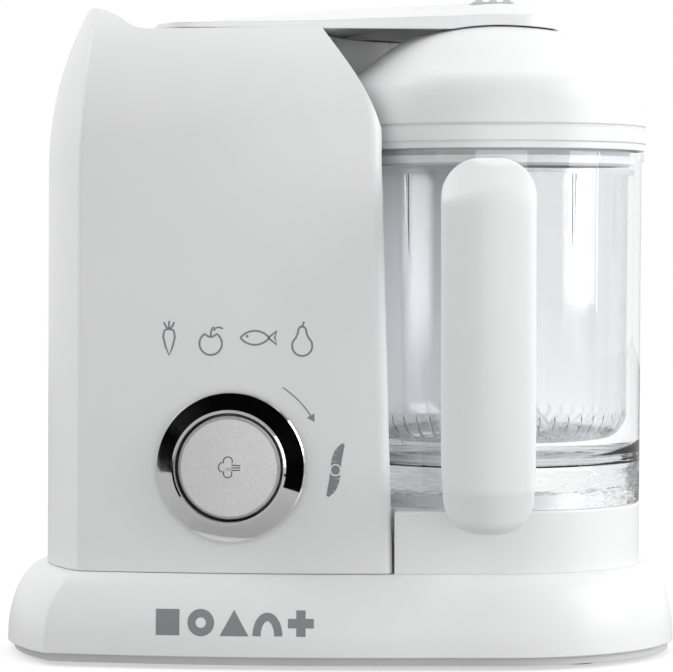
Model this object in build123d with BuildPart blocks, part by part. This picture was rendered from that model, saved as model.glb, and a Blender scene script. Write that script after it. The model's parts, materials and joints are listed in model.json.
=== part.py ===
from build123d import *
import math
import os

# Baby food maker that steams and blends: a motor and water-tank tower, a clear bowl with a handle
# and basket on a driven seat, and a hinged steam arm over both. Millimetres. +X right, +Y back,
# +Z up, z = 0 under the feet. The bowl's axis is the vertical line x = BOWL_X, y = 0.

os.makedirs("parts", exist_ok=True)

# Driving dimensions of the casing
WALL = 2.6
BOWL_X = 62.5
SKIRT_BOTTOM = 5.0
DECK = 36.0
FLARE = 13.0
LEFT_FLARE = 1.24
FRONT_Y = -59.8
REAR_Y = 87.6
FRONT_R = 480.0
FRONT_X = 10.0
LEFT_R = 99.0
LEFT_X = -20.2
LEFT_Y = 8.0
END_R = 59.8
BLEND_ANGLE = 35.0
CURVE_START = 195.0
TANK_DECK = 249.2
WING_X = 68.0
CRADLE_LOW_R = 63.6
CRADLE_TOP_R = 66.5
CHEEK = 12.0
SEAM_Y = 52.0
GAP = 0.3

# Bowl, lid and seat
SEAT_TOP = 60.5
SEAT_R = 59.0
BOWL_BOTTOM = 60.9
BOWL_FLOOR = 76.5
BOWL_R = 59.8
BASKET_R = 53.6
BASKET_BOTTOM = 85.8
BASKET_RIM = 193.8
LID_R = 61.4
LID_LOW = 201.6
DOME_TOP = 252.5
HANDLE_FRONT = -99.6
HANDLE_WIDTH = 36.0
HANDLE_TILT = -4.0

# Rear details and latch
REAR_FACE_Y = REAR_Y - 2.5
GLAND_X = -20.0
GLAND_Z = 54.0
LATCH_LEG_X = 14.0
LATCH_LEG_Y = 60.0
PLUNGER_SPOT = (24.0, 63.0)

# Knob on the curved front face
KNOB_X = -42.3
KNOB_Z = 77.7
KNOB_R = 29.3
BUTTON_R = 20.0

# Drive train
MOTOR_X = -58.0
MOTOR_Y = 20.0
SPINDLE_PULLEY_R = 30.0
MOTOR_PULLEY_R = 12.0
BELT_LOW = 15.0
BELT_WIDTH = 8.0
BELT_THICK = 2.4

BRACKET_LOW = 39.0
CAN_LOW = 42.0

# Water tank
TANK_X = -43.0
TANK_Y = 16.0
TANK_R = 30.0
TANK_LOW = 170.0

# Steam arm
ARM_LOW = 249.9
HINGE_X = -71.5
HINGE_Z = 250.4
HINGE_R = 2.0


def arc_in(z, start, radius):
    """How far a surface has leaned in at height z when it bends on this radius above start."""
    rise = max(0.0, z - start)
    return radius - math.sqrt(radius * radius - rise * rise)


def front_in(z):
    return arc_in(z, 205.0, 72.0)


def left_in(z):
    return 1.0 * min(1.0, (z - DECK) / (CURVE_START - DECK)) + arc_in(z, CURVE_START, 132.0)


def cradle_r(z):
    share = max(0.0, min(1.0, (z - DECK) / (CURVE_START - DECK)))
    return CRADLE_LOW_R + share * (CRADLE_TOP_R - CRADLE_LOW_R)


def circles_meet(centre_a, radius_a, centre_b, radius_b):
    """The crossing of two circles that lies furthest to the left."""
    dx = centre_b[0] - centre_a[0]
    dy = centre_b[1] - centre_a[1]
    apart = math.hypot(dx, dy)
    along = (radius_a**2 - radius_b**2 + apart**2) / (2 * apart)
    across = math.sqrt(radius_a**2 - along**2)
    points = []
    for side in (1, -1):
        x = centre_a[0] + (along * dx + side * across * dy) / apart
        y = centre_a[1] + (along * dy - side * across * dx) / apart
        points.append((x, y))
    return min(points)


def on_circle(centre, radius, degrees):
    angle = math.radians(degrees)
    return (centre[0] + radius * math.cos(angle), centre[1] + radius * math.sin(angle))


def bearing(centre, point):
    return math.degrees(math.atan2(point[1] - centre[1], point[0] - centre[0]))


def front_arc(centre, radius, start, end):
    """Front face line from one point of the circle to another, along the circle's lower side."""
    middle = (bearing(centre, start) + bearing(centre, end)) / 2
    ThreePointArc(start, on_circle(centre, radius, middle), end)


def round_corner(sketch, point, radius):
    fillet(sketch.vertices().sort_by_distance((point[0], point[1], 0))[0], radius)


def plinth_plan(z, grow, ridge=4.0, corner=30.0):
    """Outline of the plinth at height z, spread outwards by grow from its top edge."""
    front_centre = (FRONT_X, FRONT_Y + FRONT_R)
    front_radius = FRONT_R + grow
    left_centre = (LEFT_X, LEFT_Y)
    left_radius = LEFT_R + LEFT_FLARE * grow
    rear_y = REAR_Y + grow
    front_left = circles_meet(front_centre, front_radius, left_centre, left_radius)
    front_mid = (FRONT_X, FRONT_Y - grow)
    end_radius = END_R + grow
    end_centre = (BOWL_X, 0)
    end_stop = on_circle(end_centre, end_radius, BLEND_ANGLE)
    slope = math.sin(math.radians(BLEND_ANGLE))
    back_radius = (REAR_Y - END_R * slope) / (1 - slope)
    back_centre = on_circle(end_centre, END_R - back_radius, BLEND_ANGLE)
    back_radius = back_radius + grow
    back_stop = (back_centre[0], back_centre[1] + back_radius)
    rear_left = (LEFT_X - math.sqrt(left_radius**2 - (rear_y - LEFT_Y) ** 2), rear_y)
    with BuildSketch(Plane.XY.offset(z)) as plan:
        with BuildLine():
            front_arc(front_centre, front_radius, front_left, front_mid)
            Line(front_mid, (BOWL_X, FRONT_Y - grow))
            ThreePointArc((BOWL_X, FRONT_Y - grow), (BOWL_X + end_radius, 0), end_stop)
            middle = (BLEND_ANGLE + 90) / 2
            ThreePointArc(end_stop, on_circle(back_centre, back_radius, middle), back_stop)
            Line(back_stop, rear_left)
            ThreePointArc(rear_left, (LEFT_X - left_radius, LEFT_Y), front_left)
        make_face()
        round_corner(plan, front_left, ridge)
        round_corner(plan, rear_left, corner)
    return plan.sketch


def skirt_grow(z):
    """Quarter-ellipse flare of the plinth from its top edge down to its widest line."""
    return FLARE * math.sqrt(max(0.0, 1 - ((z - SKIRT_BOTTOM) / (DECK - SKIRT_BOTTOM)) ** 2))


def tower_plan(z, grow=0.0, ridge=3.5, cheek=4.5, corner=28.0, wing=10.0):
    """Outline of the tower at height z: curved front and left side, hollow round the bowl."""
    front_centre = (FRONT_X, FRONT_Y + FRONT_R + front_in(z))
    front_radius = FRONT_R + grow
    left_centre = (LEFT_X + left_in(z), LEFT_Y)
    left_radius = LEFT_R + grow
    rear_y = REAR_FACE_Y - 0.1 * front_in(z) + grow
    join_y = FRONT_Y + front_in(z) + CHEEK
    right_x = BOWL_X - math.sqrt(cradle_r(z) ** 2 - join_y**2) + grow
    hollow_r = cradle_r(z) - grow
    wing_x = WING_X + grow
    front_left = circles_meet(front_centre, front_radius, left_centre, left_radius)
    front_y = front_centre[1] - math.sqrt(front_radius**2 - (right_x - FRONT_X) ** 2)
    front_right = (right_x, front_y)
    cheek_end = (right_x, -math.sqrt(hollow_r**2 - (BOWL_X - right_x) ** 2))
    wing_start = (wing_x, math.sqrt(hollow_r**2 - (wing_x - BOWL_X) ** 2))
    wing_end = (wing_x, rear_y)
    rear_left = (left_centre[0] - math.sqrt(left_radius**2 - (rear_y - LEFT_Y) ** 2), rear_y)
    with BuildSketch(Plane.XY.offset(z)) as plan:
        with BuildLine():
            front_arc(front_centre, front_radius, front_left, front_right)
            Line(front_right, cheek_end)
            ThreePointArc(cheek_end, (BOWL_X - hollow_r, 0), wing_start)
            Line(wing_start, wing_end)
            Line(wing_end, rear_left)
            ThreePointArc(rear_left, (left_centre[0] - left_radius, LEFT_Y), front_left)
        make_face()
        round_corner(plan, front_left, ridge)
        round_corner(plan, front_right, cheek)
        round_corner(plan, cheek_end, 1.0)
        round_corner(plan, wing_end, wing)
        round_corner(plan, rear_left, corner)
    return plan.sketch


def above_deck(drop=0.0):
    """Everything above the tank deck and the horn on its left, lowered by drop."""
    with BuildPart() as above:
        with BuildSketch(Plane.XZ):
            with BuildLine():
                horn = Spline(
                    (-99.5, 258.3 - drop),
                    (-93.4, 257.2 - drop),
                    (-85.0, 252.6 - drop),
                    (-76.5, TANK_DECK - drop),
                    tangents=[(1, -0.06), (1, -0.1)],
                )
                Polyline(
                    horn @ 1,
                    (100, TANK_DECK - drop),
                    (100, 290),
                    (-150, 290),
                    (-150, 258.3 - drop),
                    horn @ 0,
                )
            make_face()
        extrude(amount=120, both=True)
    return above.part


def beyond_shoulder(shift=0.0):
    """Everything right of the rounded shoulder, in front of the bowl's axis."""
    with BuildPart() as beyond:
        with BuildSketch(Plane.XZ.offset(-10 - shift)):
            with BuildLine():
                edge = Spline(
                    (18.6 - shift, 190),
                    (15.8 - shift, 210),
                    (8.2 - shift, 227),
                    (-2.6 - shift, 243),
                    (-7.6 - shift, 250),
                )
                Polyline(edge @ 1, (-7.6 - shift, 290), (100, 290), (100, 190), edge @ 0)
            make_face()
        extrude(amount=110 + shift)
    return beyond.part


# Plinth ------------------------------------------------------------------------------------
SKIRT_LEVELS = (5.0, 13.0, 21.0, 28.0, 32.5, 35.0, 36.0)
with BuildPart() as plinth_outer:
    loft(sections=[plinth_plan(z, skirt_grow(z)) for z in SKIRT_LEVELS])

ROOF = DECK - WALL
with BuildPart() as plinth_inner:
    levels = (SKIRT_BOTTOM, 13.0, 21.0, 28.0, ROOF)
    loft(sections=[plinth_plan(z, skirt_grow(z) - WALL, 2.0, 28.0) for z in levels])

with BuildPart() as plinth_skirt:
    add(plinth_outer.part)
    add(plinth_inner.part, mode=Mode.SUBTRACT)
    with BuildSketch(Plane.XY.offset(ROOF)):
        with Locations((MOTOR_X, MOTOR_Y)):
            Circle(17)
        with Locations((-84, -20)):
            RectangleRounded(18, 40, 4)
        with Locations((BOWL_X, 0)):
            Circle(14.2)
    extrude(amount=WALL, mode=Mode.SUBTRACT)
plinth_skirt.part.label = "plinth_skirt"
export_step(plinth_skirt.part, "parts/plinth_skirt.step")

with BuildPart() as base_plate:
    extrude(plinth_plan(1.8, FLARE - 2.2), amount=3.0)
    extrude(plinth_plan(4.8, FLARE - WALL - 1.2, 2.0, 28.0), amount=2.0)
    with BuildSketch(Plane.XY.offset(1.8)):
        with Locations((-20, 20)):
            with GridLocations(7, 60, 9, 1):
                SlotOverall(22, 3, rotation=90)
    extrude(amount=6, mode=Mode.SUBTRACT)
base_plate.part.label = "base_plate"
export_step(base_plate.part, "parts/base_plate.step")

FOOT_SPOTS = [(-98, -36), (-84, 70), (92, -44), (66, 62)]
with BuildPart() as feet:
    for spot in FOOT_SPOTS:
        with BuildSketch(Plane.XY) as foot:
            with Locations(spot):
                Circle(8)
        extrude(amount=1.8)
feet.part.label = "feet"
export_step(feet.part, "parts/feet.step")

# Seat under the bowl -------------------------------------------------------------------------
SEAT_CORNER_X = 21.2
SEAT_BOSS_R = 46.0
SEAT_BOSS_TOP = 66.0
SPINDLE_BORE = 12.2
with BuildPart() as jar_seat:
    with BuildSketch(Plane.XY.offset(DECK)) as seat_plan:
        with Locations((BOWL_X, 0)):
            Circle(SEAT_R)
        with Locations(((BOWL_X + SEAT_CORNER_X) / 2, -39.5)):
            Rectangle(BOWL_X - SEAT_CORNER_X, 39.0)
    extrude(amount=SEAT_TOP - DECK)
    fillet(jar_seat.edges().group_by(Axis.Z)[-1], 1.0)
    with BuildSketch(Plane.XY.offset(SEAT_TOP)):
        with Locations((BOWL_X, 0)):
            Circle(SEAT_BOSS_R)
    extrude(amount=SEAT_BOSS_TOP - SEAT_TOP)
    with BuildSketch(Plane.XY.offset(DECK)):
        with Locations((BOWL_X, 0)):
            Circle(SEAT_R - WALL)
    extrude(amount=SEAT_TOP - DECK - WALL, mode=Mode.SUBTRACT)
    with BuildSketch(Plane.XY.offset(DECK)):
        with Locations((BOWL_X, 0)):
            Circle(SPINDLE_BORE + 0.02)
    extrude(amount=SEAT_BOSS_TOP - DECK, mode=Mode.SUBTRACT)
jar_seat.part.label = "jar_seat"
export_step(jar_seat.part, "parts/jar_seat.step")

# Tower -----------------------------------------------------------------------------------------
TOP_LEVELS = (195.0, 205.0, 215.0, 225.0, 235.0, 243.0, 251.0, 259.0)
TOWER_BOTTOM = DECK + 0.2
with BuildPart() as tower_outer:
    loft(sections=[tower_plan(TOWER_BOTTOM), tower_plan(CURVE_START)], ruled=True)
    loft(sections=[tower_plan(z) for z in TOP_LEVELS])
    add(above_deck(), mode=Mode.SUBTRACT)
    add(beyond_shoulder(), mode=Mode.SUBTRACT)

with BuildPart() as tower_inner:
    inner = [tower_plan(z, -WALL, 1.2, 2.0, 25.4, 7.4) for z in (DECK - 1, CURVE_START)]
    loft(sections=inner, ruled=True)
    loft(sections=[tower_plan(z, -WALL, 1.2, 2.0, 25.4, 7.4) for z in TOP_LEVELS])
    add(above_deck(WALL), mode=Mode.SUBTRACT)
    add(beyond_shoulder(WALL), mode=Mode.SUBTRACT)

KNOB_SLOPE = (KNOB_X - FRONT_X) / FRONT_R
KNOB_FACE_Y = FRONT_Y + FRONT_R * (1 - math.sqrt(1 - KNOB_SLOPE**2))
KNOB_FACE = Plane(
    origin=(KNOB_X, KNOB_FACE_Y, KNOB_Z),
    x_dir=(math.sqrt(1 - KNOB_SLOPE**2), KNOB_SLOPE, 0),
    z_dir=(KNOB_SLOPE, -math.sqrt(1 - KNOB_SLOPE**2), 0),
)
PANEL_CX = -43.0
PANEL_CY = 15.0
PANEL_W = 68.0
PANEL_D = 96.0
with BuildPart() as tower_casing:
    add(tower_outer.part)
    add(tower_inner.part, mode=Mode.SUBTRACT)
    with BuildSketch(KNOB_FACE.offset(8)):
        Circle(24.5)
    extrude(amount=-22, mode=Mode.SUBTRACT)
    with BuildSketch(Plane.XY.offset(240)):
        with Locations((PANEL_CX, PANEL_CY)):
            RectangleRounded(PANEL_W, PANEL_D, 6)
        with Locations((LATCH_LEG_X + 2, LATCH_LEG_Y)):
            Rectangle(13, 7)
        with Locations(PLUNGER_SPOT):
            Circle(2.0)
    extrude(amount=30, mode=Mode.SUBTRACT)
    with BuildSketch(Plane.XZ.offset(-REAR_Y)):
        with Locations((GLAND_X, GLAND_Z)):
            Circle(6.05)
        with Locations((-20, 112)):
            with GridLocations(8, 44, 9, 1):
                SlotOverall(36, 3.4, rotation=90)
    extrude(amount=12, mode=Mode.SUBTRACT)

with BuildPart() as tower_shell:
    add(tower_casing.part)
    split(bisect_by=Plane.XZ.offset(-SEAM_Y), keep=Keep.TOP)
tower_shell.part.label = "tower_shell"
export_step(tower_shell.part, "parts/tower_shell.step")

with BuildPart() as tower_rear_cover:
    add(tower_casing.part)
    split(bisect_by=Plane.XZ.offset(-SEAM_Y - GAP), keep=Keep.BOTTOM)
tower_rear_cover.part.label = "tower_rear_cover"
export_step(tower_rear_cover.part, "parts/tower_rear_cover.step")

# Deck over the tank, with the arm's hinge lugs ------------------------------------------------
LUG_MIDS = (-13.6, -0.4, 32.4, 45.6)
KNUCKLE_MIDS = (-7.0, 39.0)
KNUCKLE_LONG = 10.0
LUG_LONG = 2.6
DECK_PLATE = 3.2
with BuildPart() as top_deck:
    with BuildSketch(Plane.XY.offset(TANK_DECK - DECK_PLATE)):
        with Locations((PANEL_CX, PANEL_CY)):
            RectangleRounded(PANEL_W - 2 * GAP, PANEL_D - 2 * GAP, 5.7)
        with Locations((TANK_X, TANK_Y)):
            Circle(TANK_R + 0.4, mode=Mode.SUBTRACT)
    extrude(amount=DECK_PLATE)
    with BuildSketch(Plane.XY.offset(TANK_DECK - 1.9)):
        with Locations((HINGE_X - 0.4, TANK_Y)):
            Rectangle(9.6, 84)
    extrude(amount=3, mode=Mode.SUBTRACT)
    for middle in LUG_MIDS:
        with BuildSketch(Plane.XZ.offset(-middle - LUG_LONG / 2)):
            with Locations((HINGE_X, HINGE_Z)):
                Circle(HINGE_R)
            with Locations((HINGE_X, HINGE_Z - 1.6)):
                Rectangle(2 * HINGE_R, 3.2)
            with Locations((HINGE_X, HINGE_Z)):
                Circle(1.02, mode=Mode.SUBTRACT)
        extrude(amount=LUG_LONG)
top_deck.part.label = "top_deck"
export_step(top_deck.part, "parts/top_deck.step")

PIN_LONG = LUG_MIDS[1] - LUG_MIDS[0] + LUG_LONG
with BuildPart() as hinge_pins:
    for middle in KNUCKLE_MIDS:
        with BuildSketch(Plane.XZ.offset(-middle - PIN_LONG / 2)):
            with Locations((HINGE_X, HINGE_Z)):
                Circle(1.0)
        extrude(amount=PIN_LONG)
hinge_pins.part.label = "hinge_pins"
export_step(hinge_pins.part, "parts/hinge_pins.step")

BASE_SCREWS = [(-108, 10), (-60, -50), (40, -56), (104, 22), (-10, 82)]
REAR_SCREWS = [(-50, 64), (48, 64), (-50, 196), (48, 196)]
MOTOR_SCREW_PITCH = 62.0
SCREW_HEAD = 1.2
with BuildPart() as screws:
    with BuildSketch(Plane.XY.offset(0.6)):
        with Locations(*BASE_SCREWS):
            Circle(3.2)
            RectangleRounded(3.6, 0.8, 0.2, mode=Mode.SUBTRACT)
            RectangleRounded(0.8, 3.6, 0.2, mode=Mode.SUBTRACT)
    extrude(amount=SCREW_HEAD)
    with BuildSketch(Plane.XZ.offset(-REAR_FACE_Y - SCREW_HEAD)):
        with Locations(*REAR_SCREWS):
            Circle(3.2)
            RectangleRounded(3.6, 0.8, 0.2, mode=Mode.SUBTRACT)
            RectangleRounded(0.8, 3.6, 0.2, mode=Mode.SUBTRACT)
    extrude(amount=SCREW_HEAD)
    with BuildSketch(Plane.XY.offset(DECK + 0.2)):
        with Locations((MOTOR_X, MOTOR_Y)):
            with GridLocations(MOTOR_SCREW_PITCH, MOTOR_SCREW_PITCH, 2, 2):
                Circle(2.0)
    extrude(amount=CAN_LOW - DECK - 0.2)
    with BuildSketch(Plane.XY.offset(CAN_LOW)):
        with Locations((MOTOR_X, MOTOR_Y)):
            with GridLocations(MOTOR_SCREW_PITCH, MOTOR_SCREW_PITCH, 2, 2):
                Circle(4.0)
    extrude(amount=2.6)
screws.part.label = "screws"
export_step(screws.part, "parts/screws.step")


def ring(inner, outer, low, high, x, y):
    """Flat-ended ring about a vertical axis."""
    with BuildPart() as made:
        with BuildSketch(Plane.XY.offset(low)):
            with Locations((x, y)):
                Circle(outer)
                if inner > 0:
                    Circle(inner, mode=Mode.SUBTRACT)
        extrude(amount=high - low)
    return made.part


# Steam generator --------------------------------------------------------------------------------
TANK_RIM = TANK_DECK - DECK_PLATE - 1.2
TANK_RIM_R = TANK_R + 2.4
with BuildPart() as water_tank:
    add(ring(0, TANK_R, TANK_LOW, TANK_RIM, TANK_X, TANK_Y))
    add(ring(0, TANK_RIM_R, TANK_RIM - 1.4, TANK_RIM, TANK_X, TANK_Y))
    add(ring(0, TANK_R - 1.0, TANK_LOW + 1.0, TANK_RIM, TANK_X, TANK_Y), mode=Mode.SUBTRACT)
water_tank.part.label = "water_tank"
export_step(water_tank.part, "parts/water_tank.step")

with BuildPart() as tank_gasket:
    add(ring(TANK_R + 0.4, TANK_RIM_R, TANK_RIM, TANK_DECK - DECK_PLATE, TANK_X, TANK_Y))
tank_gasket.part.label = "tank_gasket"
export_step(tank_gasket.part, "parts/tank_gasket.step")

CLAMP_TOP = TANK_RIM - 1.4
with BuildPart() as tank_clamp:
    add(ring(TANK_R + 0.6, TANK_R + 5, CLAMP_TOP - 2, CLAMP_TOP, TANK_X, TANK_Y))
    with BuildSketch(Plane.XY.offset(CLAMP_TOP)):
        with Locations((TANK_X, TANK_Y)):
            with PolarLocations(TANK_R + 3.7, 3, start_angle=60):
                Circle(1.0)
    extrude(amount=TANK_DECK - DECK_PLATE - CLAMP_TOP)
tank_clamp.part.label = "tank_clamp"
export_step(tank_clamp.part, "parts/tank_clamp.step")

with BuildPart() as heating_element:
    add(ring(0, TANK_R - 2, TANK_LOW - 7, TANK_LOW, TANK_X, TANK_Y))
    with BuildSketch(Plane.XY.offset(TANK_LOW - 13)):
        with Locations((TANK_X, TANK_Y)):
            with PolarLocations(TANK_R - 8, 2, start_angle=20, angular_range=60):
                Rectangle(6, 1.2)
    extrude(amount=6)
heating_element.part.label = "heating_element"
export_step(heating_element.part, "parts/heating_element.step")

with BuildPart() as thermal_cutouts:
    add(ring(0, 9, TANK_LOW - 18, TANK_LOW - 7, TANK_X, TANK_Y))
    with BuildSketch(Plane.YZ.offset(TANK_X - 9)):
        with Locations((TANK_Y - 17, TANK_LOW - 9.2)):
            Circle(2.2)
    extrude(amount=18)
thermal_cutouts.part.label = "thermal_cutouts"
export_step(thermal_cutouts.part, "parts/thermal_cutouts.step")

# Motor -----------------------------------------------------------------------------------------
CAN_HIGH = 104.0
CAN_R = 30.0
CAN_WALL = 1.6
BEARING_R = 8.0
SHAFT_R = 3.0
with BuildPart() as motor_bracket:
    with BuildSketch(Plane.XY.offset(BRACKET_LOW)):
        with Locations((MOTOR_X, MOTOR_Y)):
            RectangleRounded(76, 76, 8)
            Circle(13, mode=Mode.SUBTRACT)
            with GridLocations(MOTOR_SCREW_PITCH, MOTOR_SCREW_PITCH, 2, 2):
                Circle(2.3, mode=Mode.SUBTRACT)
    extrude(amount=CAN_LOW - BRACKET_LOW)
motor_bracket.part.label = "motor_bracket"
export_step(motor_bracket.part, "parts/motor_bracket.step")

with BuildPart() as motor_dampers:
    with BuildSketch(Plane.XY.offset(DECK)):
        with Locations((MOTOR_X, MOTOR_Y)):
            with GridLocations(MOTOR_SCREW_PITCH, MOTOR_SCREW_PITCH, 2, 2):
                Circle(5.5)
                Circle(2.3, mode=Mode.SUBTRACT)
    extrude(amount=BRACKET_LOW - DECK)
motor_dampers.part.label = "motor_dampers"
export_step(motor_dampers.part, "parts/motor_dampers.step")

with BuildPart() as motor_can:
    add(ring(BEARING_R, CAN_R, CAN_LOW, CAN_HIGH, MOTOR_X, MOTOR_Y))
    inside = ring(0, CAN_R - CAN_WALL, CAN_LOW + CAN_WALL, CAN_HIGH - CAN_WALL, MOTOR_X, MOTOR_Y)
    add(inside, mode=Mode.SUBTRACT)
    with BuildSketch(Plane.XY.offset(CAN_HIGH - 4)):
        with Locations((MOTOR_X, MOTOR_Y)):
            with PolarLocations(19, 6):
                Circle(4.5)
    extrude(amount=6, mode=Mode.SUBTRACT)
motor_can.part.label = "motor_can"
export_step(motor_can.part, "parts/motor_can.step")

with BuildPart() as motor_stator:
    add(ring(23.0, CAN_R - CAN_WALL - 0.02, 52, 90, MOTOR_X, MOTOR_Y))
    with BuildSketch(Plane.XY.offset(52)):
        with Locations((MOTOR_X, MOTOR_Y)):
            with PolarLocations(21.4, 2):
                Rectangle(4.2, 26)
    extrude(amount=38)
    add(ring(0, 19.4, 50, 92, MOTOR_X, MOTOR_Y), mode=Mode.SUBTRACT)
motor_stator.part.label = "motor_stator"
export_step(motor_stator.part, "parts/motor_stator.step")

with BuildPart() as carbon_brushes:
    for side in (-1, 1):
        with BuildSketch(Plane.XY.offset(94)):
            with Locations((MOTOR_X, MOTOR_Y + side * 16.4)):
                Rectangle(5, 12)
        extrude(amount=5)
carbon_brushes.part.label = "carbon_brushes"
export_step(carbon_brushes.part, "parts/carbon_brushes.step")

with BuildPart() as motor_shaft:
    add(ring(0, SHAFT_R, 10, 123, MOTOR_X, MOTOR_Y))
motor_shaft.part.label = "motor_shaft"
export_step(motor_shaft.part, "parts/motor_shaft.step")

with BuildPart() as rotor_core:
    add(ring(SHAFT_R, 18.8, 54, 88, MOTOR_X, MOTOR_Y))
    with BuildSketch(Plane.XY.offset(54)):
        with Locations((MOTOR_X, MOTOR_Y)):
            with PolarLocations(15.8, 12):
                Rectangle(7, 2.6)
    extrude(amount=34, mode=Mode.SUBTRACT)
rotor_core.part.label = "rotor_core"
export_step(rotor_core.part, "parts/rotor_core.step")

with BuildPart() as commutator:
    add(ring(SHAFT_R, 9.8, 92, 98.4, MOTOR_X, MOTOR_Y))
    with BuildSketch(Plane.XY.offset(92)):
        with Locations((MOTOR_X, MOTOR_Y)):
            with PolarLocations(9.4, 12):
                Rectangle(2, 0.5)
    extrude(amount=6.4, mode=Mode.SUBTRACT)
commutator.part.label = "commutator"
export_step(commutator.part, "parts/commutator.step")

with BuildPart() as cooling_fan:
    add(ring(SHAFT_R, 8, 109, 121, MOTOR_X, MOTOR_Y))
    with BuildSketch(Plane.XY.offset(110)):
        with Locations((MOTOR_X, MOTOR_Y)):
            with PolarLocations(16.5, 9):
                Rectangle(19, 1.6, rotation=18)
    extrude(amount=9)
cooling_fan.part.label = "cooling_fan"
export_step(cooling_fan.part, "parts/cooling_fan.step")


def flanged_pulley(bore, radius, x, y):
    """Belt pulley with a flange each side of the belt."""
    low = BELT_LOW - 0.5
    high = BELT_LOW + BELT_WIDTH + 0.5
    with BuildPart() as pulley:
        add(ring(bore, radius, low, high, x, y))
        add(ring(bore, radius + 3.4, low - 1.5, low, x, y))
        add(ring(bore, radius + 3.4, high, high + 1.5, x, y))
    return pulley.part


with BuildPart() as motor_pulley:
    add(flanged_pulley(SHAFT_R, MOTOR_PULLEY_R, MOTOR_X, MOTOR_Y))
motor_pulley.part.label = "motor_pulley"
export_step(motor_pulley.part, "parts/motor_pulley.step")

with BuildPart() as drive_belt:
    for spread, mode in ((GAP + BELT_THICK, Mode.ADD), (GAP, Mode.SUBTRACT)):
        with BuildSketch(Plane.XY.offset(BELT_LOW)):
            with BuildLine():
                CenterArc((MOTOR_X, MOTOR_Y), MOTOR_PULLEY_R + spread, 0, 360)
                CenterArc((BOWL_X, 0), SPINDLE_PULLEY_R + spread, 0, 360)
            make_hull()
        extrude(amount=BELT_WIDTH, mode=mode)
drive_belt.part.label = "drive_belt"
export_step(drive_belt.part, "parts/drive_belt.step")

# Spindle under the bowl ----------------------------------------------------------------------------
SPINDLE_R = 4.0
HOUSING_BORE = 9.0
with BuildPart() as spindle_housing:
    add(ring(HOUSING_BORE, 20, ROOF - 3, ROOF, BOWL_X, 0))
    add(ring(HOUSING_BORE, SPINDLE_BORE, ROOF, 60, BOWL_X, 0))
spindle_housing.part.label = "spindle_housing"
export_step(spindle_housing.part, "parts/spindle_housing.step")

RUNNING_GAP = 0.03
with BuildPart() as shaft_bearings:
    for low in (CAN_LOW, CAN_HIGH - 5):
        add(ring(SHAFT_R + RUNNING_GAP, BEARING_R - 0.02, low, low + 5, MOTOR_X, MOTOR_Y))
    for low in (34, 53):
        add(ring(SPINDLE_R + RUNNING_GAP, HOUSING_BORE - 0.02, low, low + 6, BOWL_X, 0))
shaft_bearings.part.label = "shaft_bearings"
export_step(shaft_bearings.part, "parts/shaft_bearings.step")

with BuildPart() as spindle_seal:
    add(ring(7.6, SPINDLE_BORE, 60.2, 62.2, BOWL_X, 0))
spindle_seal.part.label = "spindle_seal"
export_step(spindle_seal.part, "parts/spindle_seal.step")

with BuildPart() as drive_pulley:
    add(flanged_pulley(SPINDLE_R, SPINDLE_PULLEY_R, BOWL_X, 0))
    with BuildSketch(Plane.XY.offset(BELT_LOW - 4)):
        with Locations((BOWL_X, 0)):
            with PolarLocations(17.5, 6):
                Circle(6)
    extrude(amount=BELT_WIDTH + 8, mode=Mode.SUBTRACT)
drive_pulley.part.label = "drive_pulley"
export_step(drive_pulley.part, "parts/drive_pulley.step")

with BuildPart() as drive_shaft:
    add(ring(0, SPINDLE_R, 10, 65, BOWL_X, 0))
drive_shaft.part.label = "drive_shaft"
export_step(drive_shaft.part, "parts/drive_shaft.step")

with BuildPart() as drive_coupling:
    add(ring(SPINDLE_R, 7.2, 60.6, 65, BOWL_X, 0))
    with BuildSketch(Plane.XY.offset(65)):
        with Locations((BOWL_X, 0)):
            Circle(7.2)
            RegularPolygon(5.0, 6, mode=Mode.SUBTRACT)
    extrude(amount=6.0)
drive_coupling.part.label = "drive_coupling"
export_step(drive_coupling.part, "parts/drive_coupling.step")

# Bowl ------------------------------------------------------------------------------------------
HUB_BORE = 8.2
HUB_TOP = 79.0
BOWL_RECESS = 67.0
FLANGE_LOW = 197.4
FLANGE_TOP = 200.5
BOWL_AXIS = Axis((BOWL_X, 0, 0), (0, 0, 1))
BOWL_SECTION = Plane(origin=(BOWL_X, 0, 0), x_dir=(1, 0, 0), z_dir=(0, -1, 0))
with BuildPart() as bowl:
    with BuildSketch(BOWL_SECTION):
        with BuildLine():
            Polyline(
                (SEAT_BOSS_R + 1, BOWL_BOTTOM),
                (SEAT_R, BOWL_BOTTOM),
                (BOWL_R, FLANGE_LOW),
                (BOWL_R + 1, FLANGE_LOW),
                (BOWL_R + 1, FLANGE_TOP),
                (BOWL_R - 2.4, FLANGE_TOP),
                (BOWL_R - 2.6, 193.0),
                (BOWL_R - 3.4, BOWL_FLOOR + 9),
            )
            wall_end = (BOWL_R - 3.4, BOWL_FLOOR + 9)
            TangentArc(wall_end, (BOWL_R - 12.4, BOWL_FLOOR), tangent=(0, -1))
            Polyline(
                (BOWL_R - 12.4, BOWL_FLOOR),
                (15, BOWL_FLOOR),
                (13, HUB_TOP),
                (HUB_BORE, HUB_TOP),
                (HUB_BORE, BOWL_RECESS),
                (SEAT_BOSS_R + 1, BOWL_RECESS),
                (SEAT_BOSS_R + 1, BOWL_BOTTOM),
            )
        make_face()
    revolve(axis=BOWL_AXIS)
bowl.part.label = "bowl"
export_step(bowl.part, "parts/bowl.step")

with BuildPart() as blade_bush:
    add(ring(4.05, HUB_BORE, 72, HUB_TOP, BOWL_X, 0))
blade_bush.part.label = "blade_bush"
export_step(blade_bush.part, "parts/blade_bush.step")

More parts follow.
